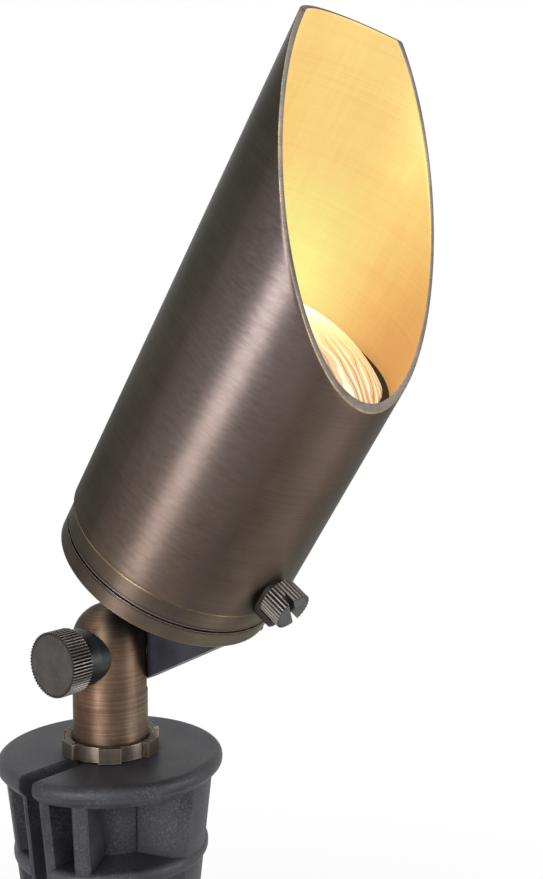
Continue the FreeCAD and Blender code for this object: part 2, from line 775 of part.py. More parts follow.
def lamp_bezel():
    bottom = "lamp_face - bezel_thickness"
    body = turned("lamp_bezel", [
        ("bezel_inner_radius", bottom),
        ("lamp_radius", bottom),
        ("lamp_radius", "lamp_face - 0.9"),
        ("lamp_radius - 0.9", "lamp_face"),
        ("bezel_inner_radius + 1.2", "lamp_face"),
        ("bezel_inner_radius", "lamp_face - 0.8")])
    middle = "(bezel_inner_radius + lamp_radius) / 2 + 0.4"
    inner = "(%s) - bezel_slot_width / 2" % middle
    outer = "(%s) + bezel_slot_width / 2" % middle
    half = "(%f) * 1deg" % (180.0 / BEZEL_SLOT_COUNT * 0.72)
    slot = [
        ("(%s) * cos(%s)" % (outer, half), "-(%s) * sin(%s)" % (outer, half), outer, 1),
        ("(%s) * cos(%s)" % (outer, half), "(%s) * sin(%s)" % (outer, half)),
        ("(%s) * cos(%s)" % (inner, half), "(%s) * sin(%s)" % (inner, half), inner, -1),
        ("(%s) * cos(%s)" % (inner, half), "-(%s) * sin(%s)" % (inner, half))]
    cut = pocket(body, add_outline(new_sketch(body, "XY_Plane", "lamp_face"), slot),
                 "bezel_thickness")
    around(body, [cut], BEZEL_SLOT_COUNT)
    in_tube(body)


def lamp_optic():
    """Clear moulding with a raised lens over each emitter."""
    top = "lamp_face - 0.8"
    body = turned("lamp_optic", [
        ("0", top + " - optic_thickness"),
        ("optic_radius", top + " - optic_thickness"),
        ("optic_radius", top),
        ("0", top)])
    raised = add_circle(new_sketch(body, "XY_Plane", top), "optic_dome_pitch", "0",
                        "optic_dome_radius")
    around(body, [pad(body, raised, "0.7")], EMITTER_COUNT)
    in_tube(body)


def emitters():
    bottom = "lamp_face - bezel_thickness - 3.2"
    board = turned("emitter_board", [
        ("0", bottom),
        ("optic_radius - 0.6", bottom),
        ("optic_radius - 0.6", bottom + " + board_thickness"),
        ("0", bottom + " + board_thickness")])
    in_tube(board)
    for i in range(EMITTER_COUNT):
        body = new_body("emitter_%d" % (i + 1))
        half = "chip_side / 2"
        square = [("-" + half, "-" + half), (half, "-" + half), (half, half), ("-" + half, half)]
        pad(body, add_outline(new_sketch(body, "XY_Plane"), square), "chip_height")
        lean = "(%f) * 1deg" % (360.0 / EMITTER_COUNT * i)
        in_tube(body, "optic_dome_pitch * cos(%s)" % lean, "optic_dome_pitch * sin(%s)" % lean,
                bottom + " + board_thickness")


SINK_TOP = "lamp_face - bezel_thickness"
SINK_BOTTOM = "lamp_face - bezel_thickness - sink_height"


def heat_sink():
    """Cast cup with fins that narrow towards the base."""
    rim = "lamp_radius - 0.4"
    cup_floor = SINK_TOP + " - 3.2"
    body = turned("heat_sink", [
        ("0", SINK_BOTTOM),
        ("sink_core_radius", SINK_BOTTOM),
        ("sink_core_radius", SINK_BOTTOM + " + sink_height * 0.55"),
        (rim, SINK_TOP + " - 4.6"),
        (rim, SINK_TOP),
        ("optic_radius + 0.1", SINK_TOP),
        ("optic_radius + 0.1", cup_floor),
        ("0", cup_floor)])
    outline = [
        ("sink_core_radius / 2", SINK_BOTTOM),
        ("sink_core_radius + 1.6", SINK_BOTTOM),
        ("sink_core_radius + 5.2", SINK_BOTTOM + " + sink_height * 0.4"),
        (rim, SINK_TOP + " - 4.6"),
        ("sink_core_radius / 2", SINK_TOP + " - 4.6")]
    fin = pad(body, add_outline(new_sketch(body, "XZ_Plane"), outline), "sink_fin_width",
              middle=True)
    around(body, [fin], SINK_FIN_COUNT)
    in_tube(body)


BASE_BOTTOM = SINK_BOTTOM + " - base_height"


def lamp_base():
    body = turned("lamp_base", [
        ("0", BASE_BOTTOM),
        ("base_radius - 1", BASE_BOTTOM),
        ("base_radius - 0.4", BASE_BOTTOM + " + 1"),
        ("base_radius", SINK_BOTTOM),
        ("0", SINK_BOTTOM)])
    # Two flat sides, 0.65 of the base's radius from its axis.
    for sign in ("-", ""):
        side = [
            ("-2 * base_radius", sign + "0.65 * base_radius"),
            ("2 * base_radius", sign + "0.65 * base_radius"),
            ("2 * base_radius", sign + "2 * base_radius"),
            ("-2 * base_radius", sign + "2 * base_radius")]
        pocket(body, add_outline(new_sketch(body, "XY_Plane", SINK_BOTTOM), side), "base_height")
    in_tube(body)
    for index, sign in ((1, "-"), (2, "")):
        pin = turned("lamp_pin_%d" % index, [
            ("0", "-pin_length"),
            ("pin_radius", "-pin_length"),
            ("pin_radius", "0"),
            ("0", "0")])
        in_tube(pin, "%spin_pitch / 2" % sign, "0", BASE_BOTTOM)


SOCKET_TOP = BASE_BOTTOM + " - socket_play"
SOCKET_BOTTOM = SOCKET_TOP + " - socket_height"


def lamp_socket():
    body = turned("lamp_socket", [
        ("0", SOCKET_BOTTOM),
        ("socket_radius - 0.8", SOCKET_BOTTOM),
        ("socket_radius", SOCKET_BOTTOM + " + 0.8"),
        ("socket_radius", SOCKET_TOP),
        ("0", SOCKET_TOP)])
    holes = new_sketch(body, "XY_Plane", SOCKET_TOP)
    for sign in ("-", ""):
        add_circle(holes, "%spin_pitch / 2" % sign, "0", "pin_radius + running_clearance")
    pocket(body, holes, "pin_length + 1")
    in_tube(body)


def socket_bracket():
    """Bent strip: a bridge under the socket, two legs and two feet."""
    body = new_body("socket_bracket")
    half = "bracket_span / 2"
    deck = SOCKET_BOTTOM
    gauge = "bracket_thickness"
    outline = [
        ("-(%s) - bracket_foot" % half, CAP_FLOOR_TOP),
        ("-(%s)" % half, CAP_FLOOR_TOP),
        ("-(%s)" % half, "%s - %s" % (deck, gauge)),
        (half, "%s - %s" % (deck, gauge)),
        (half, CAP_FLOOR_TOP),
        ("(%s) + bracket_foot" % half, CAP_FLOOR_TOP),
        ("(%s) + bracket_foot" % half, "%s + %s" % (CAP_FLOOR_TOP, gauge)),
        ("(%s) + %s" % (half, gauge), "%s + %s" % (CAP_FLOOR_TOP, gauge)),
        ("(%s) + %s" % (half, gauge), deck),
        ("-(%s) - %s" % (half, gauge), deck),
        ("-(%s) - %s" % (half, gauge), "%s + %s" % (CAP_FLOOR_TOP, gauge)),
        ("-(%s) - bracket_foot" % half, "%s + %s" % (CAP_FLOOR_TOP, gauge))]
    pad(body, add_outline(new_sketch(body, "XZ_Plane"), outline), "bracket_width", middle=True)
    holes = new_sketch(body, "XY_Plane", CAP_FLOOR_TOP + " + bracket_thickness")
    for sign in ("-", "+"):
        add_circle(holes, sign + BRACKET_SCREW_SIDE, "0",
                   "small_screw_radius + running_clearance")
    pocket(body, holes, "bracket_thickness")
    in_tube(body)
    for index, sign in ((1, "-"), (2, "")):
        fixing = screw("bracket_screw_%d" % index, "small_screw_radius",
                       "cap_floor + bracket_thickness - 0.6", "1.9 * small_screw_radius",
                       "1.2 * small_screw_radius")
        in_tube(fixing, sign + BRACKET_SCREW_SIDE, "0", CAP_FLOOR_TOP + " + bracket_thickness")


# Shroud, its friction ring and its screw

def shroud_ring():
    inner = "housing_radius - ring_groove_depth + running_clearance"
    bottom = "ring_groove_height + seat_gap"
    top = "ring_groove_height + ring_groove_width - seat_gap"
    body = turned("shroud_ring", [
        (inner, bottom),
        ("housing_radius", bottom),
        ("housing_radius", top),
        (inner, top)])
    in_tube(body)


def glare_shroud():
    inner = "shroud_radius - shroud_wall"
    body = turned("glare_shroud", [
        (inner, "shroud_foot"),
        ("shroud_radius - 0.3", "shroud_foot"),
        ("shroud_radius", "shroud_foot + 0.3"),
        ("shroud_radius", "shroud_tip"),
        (inner, "shroud_tip")])
    rise = "tan(shroud_cut_angle * 1deg)"
    past = "2 * shroud_radius"
    mouth = [
        ("-" + past, "shroud_low_edge - shroud_radius * " + rise),
        (past, "shroud_low_edge + 3 * shroud_radius * " + rise),
        ("-" + past, "shroud_low_edge + 3 * shroud_radius * " + rise)]
    pocket(body, add_outline(new_sketch(body, "YZ_Plane"), mouth), "4 * shroud_radius",
           middle=True)
    hole = add_circle(new_sketch(body, "XZ_Plane"), "0", "shroud_screw_height",
                      "screw_shank_radius + running_clearance")
    pocket(body, hole, "2 * shroud_radius", backwards=True)
    in_tube(body)


def screw_boss():
    """Threaded boss on the shroud's low side, saddled to the tube, with a lip
    beside the screw's head."""
    body = new_body("screw_boss")
    root = "shroud_radius * 0.9"
    length = "shroud_radius * 0.1 + screw_boss_height + screw_boss_lip"
    for drop in ("0", "-screw_boss_drop"):
        end = add_circle(new_sketch(body, "XZ_Plane", root), "0", drop, "screw_boss_radius")
        pad(body, end, length)
    between = [
        ("-screw_boss_radius", "-screw_boss_drop"),
        ("screw_boss_radius", "-screw_boss_drop"),
        ("screw_boss_radius", "0"),
        ("-screw_boss_radius", "0")]
    pad(body, add_outline(new_sketch(body, "XZ_Plane", root), between), length)
    recess = add_circle(new_sketch(body, "XZ_Plane", "shroud_radius + screw_boss_height"),
                        "0", "0", "screw_head_radius + seat_gap")
    pocket(body, recess, "screw_boss_lip + 1", backwards=True)
    hole = add_circle(new_sketch(body, "XZ_Plane"), "0", "0",
                      "screw_shank_radius + running_clearance")
    pocket(body, hole, "2 * shroud_radius", backwards=True)
    saddle = add_circle(new_sketch(body, "XY_Plane"), "0", "0", "shroud_radius")
    pocket(body, saddle, "8 * screw_boss_radius", middle=True)
    in_tube(body, along="shroud_screw_height")


def shroud_screw():
    body = new_body("shroud_screw")
    under = "(shroud_radius + screw_boss_height + 0.1)"
    face = "(%s + screw_head_thickness)" % under
    tip = "(housing_radius + seat_gap)"
    profile = [
        ("-" + face, "0"),
        ("-" + face, "screw_head_radius"),
        ("-" + under, "screw_head_radius"),
        ("-" + under, "screw_shank_radius"),
        ("-" + tip, "screw_shank_radius"),
        ("-" + tip, "0")]
    revolve(body, add_outline(new_sketch(body, "YZ_Plane"), profile), "H_Axis")
    slot = radial_bar("screw_slot_turn", "-2 * screw_head_radius", "2 * screw_head_radius",
                      "screw_slot_width")
    pocket(body, add_outline(new_sketch(body, "XZ_Plane", face), slot), "screw_slot_depth")
    groove = knurl(body, "XZ_Plane", under, "screw_head_thickness", "screw_head_radius",
                   "screw_groove_depth", SCREW_GROOVE_COUNT, backwards=True)
    around(body, [groove], SCREW_GROOVE_COUNT, "Y_Axis")
    in_tube(body, along="shroud_screw_height")


ground_stake()
knuckle_stem()
lock_nut()
clamp_knob()
clamp_collar()
friction_washer()
head_lug()
lug_screws()
rear_cap()
cap_seal()
lamp_housing()
lens_gasket()
front_lens()
lamp_bezel()
lamp_optic()
emitters()
heat_sink()
lamp_base()
lamp_socket()
socket_bracket()
shroud_ring()
glare_shroud()
screw_boss()
shroud_screw()
doc.recompute()

for item in doc.Objects:
    if "Invalid" in item.State or "Error" in item.State:
        raise RuntimeError("%s failed: %s" % (item.Label, item.State))
for node in nodes:
    if node.Shape.isNull() or not node.Shape.isValid() or len(node.Shape.Solids) != 1:
        raise RuntimeError("%s has no single valid solid" % node.Label)

os.makedirs("parts", exist_ok=True)
for node in nodes:
    node.Shape.exportStep(os.path.join("parts", node.Label + ".step"))
    box = node.Shape.BoundBox
    print("%-18s %9.1f mm3  z %7.2f to %7.2f" % (node.Label, node.Shape.Volume, box.ZMin, box.ZMax))
print(len(nodes), "sub-parts")
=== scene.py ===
import json
import math

import bmesh
import bpy
from mathutils import Matrix, Vector


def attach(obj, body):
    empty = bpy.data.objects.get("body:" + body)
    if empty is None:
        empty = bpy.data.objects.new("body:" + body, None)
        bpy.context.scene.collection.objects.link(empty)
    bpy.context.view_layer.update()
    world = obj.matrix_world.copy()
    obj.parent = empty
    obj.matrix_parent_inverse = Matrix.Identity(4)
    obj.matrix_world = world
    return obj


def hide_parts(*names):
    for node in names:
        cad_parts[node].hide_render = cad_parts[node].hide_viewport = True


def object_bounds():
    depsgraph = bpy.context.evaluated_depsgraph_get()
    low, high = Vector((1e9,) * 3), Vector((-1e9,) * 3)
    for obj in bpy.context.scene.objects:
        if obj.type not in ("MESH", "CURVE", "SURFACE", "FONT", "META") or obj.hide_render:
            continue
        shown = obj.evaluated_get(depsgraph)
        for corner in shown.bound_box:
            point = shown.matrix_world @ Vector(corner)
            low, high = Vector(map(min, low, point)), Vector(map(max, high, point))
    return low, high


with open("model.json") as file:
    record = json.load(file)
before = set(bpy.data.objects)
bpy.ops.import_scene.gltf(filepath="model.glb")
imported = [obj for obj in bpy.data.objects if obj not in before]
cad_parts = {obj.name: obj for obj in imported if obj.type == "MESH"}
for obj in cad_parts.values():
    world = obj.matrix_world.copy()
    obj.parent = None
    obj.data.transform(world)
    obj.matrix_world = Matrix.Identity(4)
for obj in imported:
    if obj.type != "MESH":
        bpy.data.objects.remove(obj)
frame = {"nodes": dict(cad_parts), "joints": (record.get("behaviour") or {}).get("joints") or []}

cad_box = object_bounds()
MM = 0.001
scene = bpy.context.scene
scene.view_settings.view_transform = "Standard"

# ---------------------------------------------------------------- places from the frame

joints = {joint["name"]: joint for joint in frame["joints"]}
PIVOT = Vector(joints["head_tilt"]["pos_m"])
HEAD_AXIS = Vector(joints["shroud_slide"]["axis"]).normalized()
HEAD_TILT = math.atan2(-HEAD_AXIS.y, HEAD_AXIS.z)
LOW_SIDE = Vector((0, -HEAD_AXIS.z, HEAD_AXIS.y))
TUBE_OFFSET = 4.5 * MM       # of the tube's axis from the pivot, on the low side


def axes_at(origin, across, up, along):
    """Matrix of a frame with these three unit axes."""
    turned = Matrix((across, up, along)).transposed().to_4x4()
    turned.translation = origin
    return turned


# Heights in the tube's frame run along the head's axis from the pivot.
TUBE = axes_at(PIVOT + LOW_SIDE * TUBE_OFFSET, Vector((1, 0, 0)), -LOW_SIDE, HEAD_AXIS)
TO_TUBE = TUBE.inverted()
SEAM = 39.4 * MM             # between the rear cap and the housing's band
BAND_TOP = 45.1 * MM
SCREW_HEIGHT = 53.3 * MM
SCREW_RADIUS, KNOB_RADIUS = 5.3 * MM, 9.0 * MM     # over their ridges
KNUCKLE_TOP = (28 * MM, 38 * MM)                   # upright heights


# ---------------------------------------------------------------- node materials

class Shade:
    """A principled material and short calls for the nodes that feed it."""

    def __init__(self, name, base=(0.5, 0.5, 0.5), metallic=0.0, roughness=0.5, tilted=False):
        self.material = bpy.data.materials.new(name)
        self.material.use_nodes = True
        self.tree = self.material.node_tree
        self.shader = self.tree.nodes["Principled BSDF"]
        self.tilted = tilted
        self.set("Base Color", (*base, 1))
        self.set("Metallic", metallic)
        self.set("Roughness", roughness)

    def set(self, socket, value):
        self.shader.inputs[socket].default_value = value

    def feed(self, socket, output):
        self.tree.links.new(output, self.shader.inputs[socket])

    def node(self, kind, inputs=(), **settings):
        made = self.tree.nodes.new("ShaderNode" + kind)
        for key, value in settings.items():
            setattr(made, key, value)
        for key, value in dict(inputs).items():
            socket = made.inputs[key]
            if isinstance(value, bpy.types.NodeSocket):
                self.tree.links.new(value, socket)
            else:
                socket.default_value = value
        return made

    def place(self, stretch=(1, 1, 1)):
        """Object coordinates, in the tube's frame if tilted, then stretched."""
        vector = self.node("TexCoord").outputs["Object"]
        if self.tilted:
            vector = self.node("Mapping", {"Vector": vector, "Location": TO_TUBE.translation,
                                           "Rotation": (-HEAD_TILT, 0, 0)}).outputs[0]
        return self.node("Mapping", {"Vector": vector, "Scale": stretch}).outputs[0]

    def parts(self):
        """The coordinates one by one, by their letters."""
        return self.node("SeparateXYZ", {"Vector": self.place()}).outputs

    def height(self):
        return self.parts()["Z"]

    def noise(self, vector, scale=1.0, detail=4.0, rough=0.55):
        return self.node("TexNoise", {"Vector": vector, "Scale": scale, "Detail": detail,
                                      "Roughness": rough}).outputs["Fac"]

    def ramp(self, factor, stops):
        made = self.node("ValToRGB", {"Fac": factor})
        elements = made.color_ramp.elements
        while len(elements) < len(stops):
            elements.new(0.5)
        for element, (place, colour) in zip(elements, stops):
            element.position = place
            element.color = (*colour, 1)
        return made.outputs["Color"]

    def math(self, operation, first, second=0.0):
        return self.node("Math", {0: first, 1: second}, operation=operation).outputs[0]

    def times(self, first, second):
        return self.math("MULTIPLY", first, second)

    def spread(self, value, low, high, to_low=0.0, to_high=1.0):
        """The value's range low to high laid over another range, and held inside it."""
        return self.node("MapRange", {"Value": value, "From Min": low, "From Max": high,
                                      "To Min": to_low, "To Max": to_high}).outputs[0]

    def near(self, value, place, width):
        """1 at the place, falling to 0 at this distance from it."""
        gap = self.math("ABSOLUTE", self.math("SUBTRACT", value, place))
        return self.spread(gap, 0.3 * width, width, 1.0, 0.0)

    def corner(self, reach):
        """1 on sharp corners, 0 on faces this far from them."""
        rounded = self.node("Bevel", {"Radius": reach}, samples=6).outputs[0]
        flat = self.node("NewGeometry").outputs["Normal"]
        alike = self.node("VectorMath", {0: rounded, 1: flat}, operation="DOT_PRODUCT")
        return self.spread(alike.outputs["Value"], 0.99, 0.88)

    def out_of_axis(self, side):
        """Distance from the axis of the coordinates towards a side, given as (X, Y)."""
        split = self.parts()
        return self.blend(((split["X"], side[0]), (split["Y"], side[1])))

    def blend(self, shares):
        """Sum of values, each times its share."""
        total = 0.0
        for value, share in shares:
            total = self.math("ADD", self.times(value, share), total)
        return total

    def mix(self, factor, first, second, blend="MIX"):
        made = self.node("Mix", data_type="RGBA", blend_type=blend)
        for index, value in ((0, factor), (6, first), (7, second)):
            if isinstance(value, bpy.types.NodeSocket):
                self.tree.links.new(value, made.inputs[index])
            else:
                made.inputs[index].default_value = value if index == 0 else (*value, 1)
        return made.outputs[2]

    def bump(self, height, strength, distance):
        made = self.node("Bump", {"Height": height, "Strength": strength, "Distance": distance})
        self.feed("Normal", made.outputs["Normal"])

    def brush_along(self, axis, amount):
        """Gloss drawn out along an axis of the piece, across the brushed lines."""
        self.set("Anisotropic", amount)
        turned = self.node("VectorTransform", {0: tuple(axis)}, vector_type="VECTOR",
                           convert_from="OBJECT", convert_to="WORLD")
        self.feed("Tangent", turned.outputs[0])


FAR_SIDE = (0.69, -0.72)           # across the tube, from the knob's side to the far one
HIGHLIGHT_SIDE = (-0.933, -0.360)     # out of the tube's axis to the side of the painted highlight band
TUBE_REACH = 30 * MM               # across the tube, from its axis
HIGHLIGHT_FROM, HIGHLIGHT_TO = 26.5 * MM, 31 * MM      # out of the axis, where the painted highlight band shows
ROSY_FROM, ROSY_TO = 45 * MM, 120 * MM     # heights where the painted highlight band turns rosy
GOLD_LINE, GRIME_LINE = 0.50 * MM, 1.4 * MM     # reach above and below a height
CORNER_WEAR = 0.35 * MM                         # reach from a sharp corner
GOLD_WEAR = (0.60, 0.41, 0.18)
GRIME = (0.020, 0.017, 0.028)
GREENISH = (0.92, 1.12, 1.12)
COOL = (0.56, 0.70, 0.72)


def across_light(shade):
    """-1 on the side of the knob, to 1 on the far side of the tube."""
    across = shade.out_of_axis(FAR_SIDE)
    return shade.spread(across, -TUBE_REACH, TUBE_REACH, -1.0, 1.0)


def painted_shade_and_highlight(shade, colour, amount):
    """Painted shade and light by side, with a greenish patina cast: darker towards the knob's
    side and lighter towards the far one, and a painted highlight band along one side."""
    # Painted shade and light by side, with a greenish patina cast.
    side = shade.ramp(shade.spread(across_light(shade), -1.0, 1.0),
                      [(0.0, (0.62, 0.68, 0.66)), (0.3, (0.98, 0.90, 0.85)),
                       (0.55, (1.16, 1.08, 1.04)), (0.8, (1.42, 1.30, 1.22)),
                       (1.0, (1.0, 1.0, 1.0))])
    colour = shade.mix(1.0, colour, side, "MULTIPLY")
    # A painted highlight band along one side, rosy higher up.
    facing = shade.spread(shade.out_of_axis(HIGHLIGHT_SIDE), HIGHLIGHT_FROM, HIGHLIGHT_TO)
    highlight_breakup = shade.noise(shade.place((260, 260, 900)), detail=4.0, rough=0.7)
    highlight_band = shade.times(facing, shade.spread(highlight_breakup, 0.3, 0.65, 0.4 * amount, amount))
    rosy = shade.ramp(shade.spread(shade.height(), ROSY_FROM, ROSY_TO),
                      [(0.0, (0.150, 0.108, 0.088)), (1.0, (0.172, 0.136, 0.136))])
    return shade.mix(highlight_band, colour, rosy)


def edge_wear(shade, colour, patches, edges, grime, corners):
    """Gold at the edges and grime at the seams, given as heights, and a paler colour
    on sharp corners, if any is given."""
    for height in edges:
        there = shade.near(shade.height(), height, GOLD_LINE)
        bare = shade.times(there, shade.spread(patches, 0.32, 0.50))
        colour = shade.mix(bare, colour, GOLD_WEAR)
    for height in grime:
        there = shade.near(shade.height(), height, GRIME_LINE)
        filled = shade.times(there, shade.spread(patches, 0.35, 0.55, 0.5, 1.0))
        colour = shade.mix(filled, colour, GRIME)
    if corners:
        bare = shade.times(shade.corner(CORNER_WEAR),
                           shade.spread(patches, 0.32, 0.50, 0.45, 1.0))
        colour = shade.mix(bare, colour, corners)
    return colour


def brushed_metal(name, dark, middle, bright, roughness=0.42, tilted=True, line=5200.0,
                  patina=28.0, grain=0.3, drawn=0.85, depth=0.05, tint=None, painted_light=0.0,
                  cool_above=None, edges=(), grime=(), corners=None):
    """Aged metal brushed round its axis, with fine lines, soft patches and uneven gloss.

    line and patina are how fine the lines and patches are, grain the share of the lines,
    drawn how far the gloss is drawn out, tint a second cast of the patina, and cool_above
    the heights over which it turns cool."""
    shade = Shade(name, middle, 1.0, roughness, tilted)
    shade.set("Specular Tint", (0.62, 0.62, 0.60, 1))
    lines = shade.noise(shade.place((45, 45, line)), detail=3.0, rough=0.6)
    patches = shade.noise(shade.place((1, 1, 0.6)), patina, 5.0, 0.6)
    worn = shade.blend(((lines, grain), (patches, 1 - grain)))
    colour = shade.ramp(worn, [(0.34, dark), (0.5, middle), (0.68, bright)])
    if tint:
        drift = shade.noise(shade.place((1, 1, 0.4)), 17.0, 2.0, 0.5)
        colour = shade.mix(shade.spread(drift, 0.42, 0.66), colour, tint, "MULTIPLY")
    # Painted shade and light by side, and a painted highlight band.
    if painted_light:
        colour = painted_shade_and_highlight(shade, colour, painted_light)
    if cool_above:
        top = shade.times(shade.spread(shade.height(), *cool_above),
                          shade.spread(patches, 0.35, 0.60, 1.0, 0.35))
        colour = shade.mix(top, colour, COOL, "MULTIPLY")
    shade.feed("Base Color", edge_wear(shade, colour, patches, edges, grime, corners))
    shade.feed("Roughness", shade.spread(worn, 0.3, 0.7, roughness + 0.08, roughness - 0.06))
    shade.bump(lines, 0.3, depth * MM)
    if drawn:
        shade.brush_along(HEAD_AXIS if tilted else (0, 0, 1), drawn)
    return shade


SCUFFED = (0.115, 0.105, 0.108)


def plastic(name, dark, bright, roughness=0.5, fineness=900.0, depth=0.05, gloss=0.5,
            scuffs=0.0):
    """Moulded plastic or rubber with a fine grain, faint clouds and pale scuffs."""
    shade = Shade(name, bright, 0.0, roughness)
    shade.set("Specular IOR Level", gloss)
    clouds = shade.noise(shade.place(), 60.0, 5.0)
    grain = shade.noise(shade.place(), fineness, 3.0)
    colour = shade.ramp(clouds, [(0.35, dark), (0.65, bright)])
    if scuffs:
        specks = shade.noise(shade.place(), 1500.0, 4.0, 0.75)
        patches = shade.noise(shade.place(), 95.0, 3.0, 0.6)
        amount = shade.times(shade.spread(specks, 0.48, 0.66, 0.0, scuffs),
                             shade.spread(patches, 0.42, 0.60, 0.25, 1.0))
        colour = shade.mix(amount, colour, SCUFFED)
    shade.feed("Base Color", colour)
    shade.feed("Roughness", shade.spread(clouds, 0.3, 0.7, roughness - 0.08, roughness + 0.1))
    shade.bump(grain, 0.35, depth * MM)
    return shade


def knurled_metal(name, middle, keep, top, tilted=False):
    """Dark bronze with painted shade in the grooves, and ridges paler, partly worn bright and
    partly a painted highlight.
    keep is 1 across the knob's axis and 0 along it, and top the radius where the ridges end."""
    shade = Shade(name, (0.08, 0.07, 0.066), 1.0, 0.42, tilted)
    place = shade.node("Mapping", {"Vector": shade.place(), "Scale": keep,
                                   "Location": tuple(-m * k for m, k in zip(middle, keep))})
    radius = shade.node("VectorMath", {0: place.outputs[0]}, operation="LENGTH").outputs["Value"]
    clouds = shade.noise(shade.place(), 240.0, 5.0)
    specks = shade.noise(shade.place(), 1400.0, 3.0)
    worn = shade.blend(((clouds, 0.6), (specks, 0.4)))
    colour = shade.ramp(worn, [(0.34, (0.066, 0.059, 0.056)), (0.5, (0.082, 0.074, 0.070)),
                               (0.68, (0.104, 0.094, 0.088))])
    # Painted shade in the grooves.
    groove_shade = shade.spread(radius, top - 0.42 * MM, top - 0.20 * MM, 0.75, 0.0)
    groove_shade = shade.times(groove_shade, shade.spread(radius, top - MM, top - 0.6 * MM))
    colour = shade.mix(groove_shade, colour, (0.016, 0.014, 0.014))
    # Ridge tops paler: wear and a painted highlight.
    ridge_wear_and_highlight = shade.times(shade.spread(radius, top - 0.16 * MM, top - 0.04 * MM),
                        shade.spread(clouds, 0.3, 0.6, 0.5, 1.0))
    shade.feed("Base Color", shade.mix(ridge_wear_and_highlight, colour, (0.36, 0.31, 0.29)))
    shade.feed("Roughness", shade.spread(worn, 0.3, 0.7, 0.48, 0.36))
    shade.bump(clouds, 0.25, 0.04 * MM)
    return shade


def emit(shade, colour, strength):
    shade.feed("Emission Color", colour)
    shade.set("Emission Strength", strength)


LOW_FROM, LOW_TO = 113 * MM, 147 * MM      # heights over which the far side of the painted glow is orange
TIP_FROM, TIP_TO = 158 * MM, 180 * MM      # heights over which it turns yellow again


def lit_gold():
    """The shroud's lit inside, with painted lamp light: brushed gold that glows yellow low down
    on the knob's side and orange on the far side, more even higher up and yellow at the far side
    of the tip."""
    shade = Shade("lit_gold", (0.30, 0.20, 0.07), 1.0, 0.5, True)
    lowness = shade.spread(shade.height(), LOW_FROM, LOW_TO, 1.0, 0.0)
    lines = shade.noise(shade.place((16, 16, 2600)), detail=3.0, rough=0.65)
    smudges = shade.noise(shade.place(), 47.0, 5.0, 0.62)
    scratches = shade.noise(shade.place((700, 700, 40)), 1.0, 4.0, 0.75)
    side = shade.times(shade.spread(across_light(shade), 0.0, 0.94, -1.0, 1.0), lowness)
    tip = shade.times(shade.spread(across_light(shade), 0.0, 0.36),
                      shade.spread(shade.height(), TIP_FROM, TIP_TO))
    warmth = shade.blend(((side, 0.44), (tip, -0.30), (smudges, 0.30), (lines, 0.24),
                          (scratches, 0.16)))
    light = shade.ramp(shade.math("ADD", warmth, 0.09),
                       [(0.10, (1.0, 0.95, 0.31)), (0.44, (0.98, 0.67, 0.225)),
                        (0.62, (0.92, 0.52, 0.165)), (0.84, (0.79, 0.39, 0.125))])
    # Painted lamp light: the glow colours the base and is emitted.
    shade.feed("Base Color", shade.mix(0.86, light, (0.07, 0.05, 0.03)))
    emit(shade, light, 0.76)
    shade.bump(lines, 0.2, 0.05 * MM)
    return shade


SWIRL_MIDDLE = (0.031, 0.012, 0)     # from the swirls' middle to the lens's
WHITE_EDGE, DIM_EDGE = 8 * MM, -24 * MM     # where the glow stops being white, and is dimmest


def lit_glass():
    """Domed lens with a painted glow of lamp light: white on its high side, cream on its low
    side, with brown swirls and pale painted highlights in the glow."""
    shade = Shade("lens_glass", (0.55, 0.42, 0.30), 0.0, 0.06, True)
    shade.set("IOR", 1.47)
    shade.set("Transmission Weight", 0.35)
    smears = shade.noise(shade.place(), 90.0, 4.0)
    shade.feed("Roughness", shade.spread(smears, 0.4, 0.8, 0.05, 0.16))
    fade = shade.spread(shade.parts()["Y"], WHITE_EDGE, DIM_EDGE)
    aside = shade.node("Mapping", {"Vector": shade.place((1, 0.62, 0)),
                                   "Location": SWIRL_MIDDLE}).outputs[0]
    swirl = shade.node("TexWave", {"Vector": aside, "Scale": 84.0, "Distortion": 13.0,
                                   "Detail": 2.5, "Detail Scale": 0.9},
                       wave_type="RINGS", rings_direction="SPHERICAL").outputs["Fac"]
    # Brown swirls painted into the glow, mostly on its dim side.
    brown_swirls = shade.times(shade.spread(swirl, 0.0, 0.16, 1.0, 0.0),
                        shade.spread(fade, 0.42, 0.80, 0.0, 0.75))
    # Pale painted highlights between the swirls.
    pale = shade.times(shade.spread(swirl, 0.78, 0.98), shade.spread(fade, 0.4, 0.7))
    glow = shade.ramp(fade, [(0.16, (1.0, 0.96, 0.86)), (0.36, (0.95, 0.76, 0.44)),
                             (0.60, (0.78, 0.55, 0.26)), (1.0, (0.62, 0.43, 0.24))])
    glow = shade.mix(brown_swirls, glow, (0.20, 0.10, 0.05))
    glow = shade.mix(pale, glow, (0.98, 0.86, 0.62))
    shade.feed("Base Color", shade.mix(0.6, glow, (0.12, 0.08, 0.05)))
    emit(shade, glow, 0.78)
    return shade


def warm_emitter():
    """Lit phosphor with a fine speckle."""
    shade = Shade("emitter_phosphor", (0.95, 0.75, 0.25), 0.0, 0.5)
    speckle = shade.noise(shade.place(), 2500.0, 2.0)
    emit(shade, shade.ramp(speckle, [(0.3, (1.0, 0.72, 0.30)), (0.7, (1.0, 0.84, 0.5))]), 6.0)
    return shade


def clear_optic():
    """Clear moulding that carries the lamp's warm light."""
    shade = Shade("optic_clear", (1.0, 0.95, 0.85), 0.0, 0.06)
    shade.set("IOR", 1.49)
    shade.set("Transmission Weight", 0.85)
    flow = shade.noise(shade.place(), 150.0, 3.0)
    emit(shade, shade.ramp(flow, [(0.35, (1.0, 0.78, 0.42)), (0.65, (1.0, 0.9, 0.65))]), 0.5)
    return shade
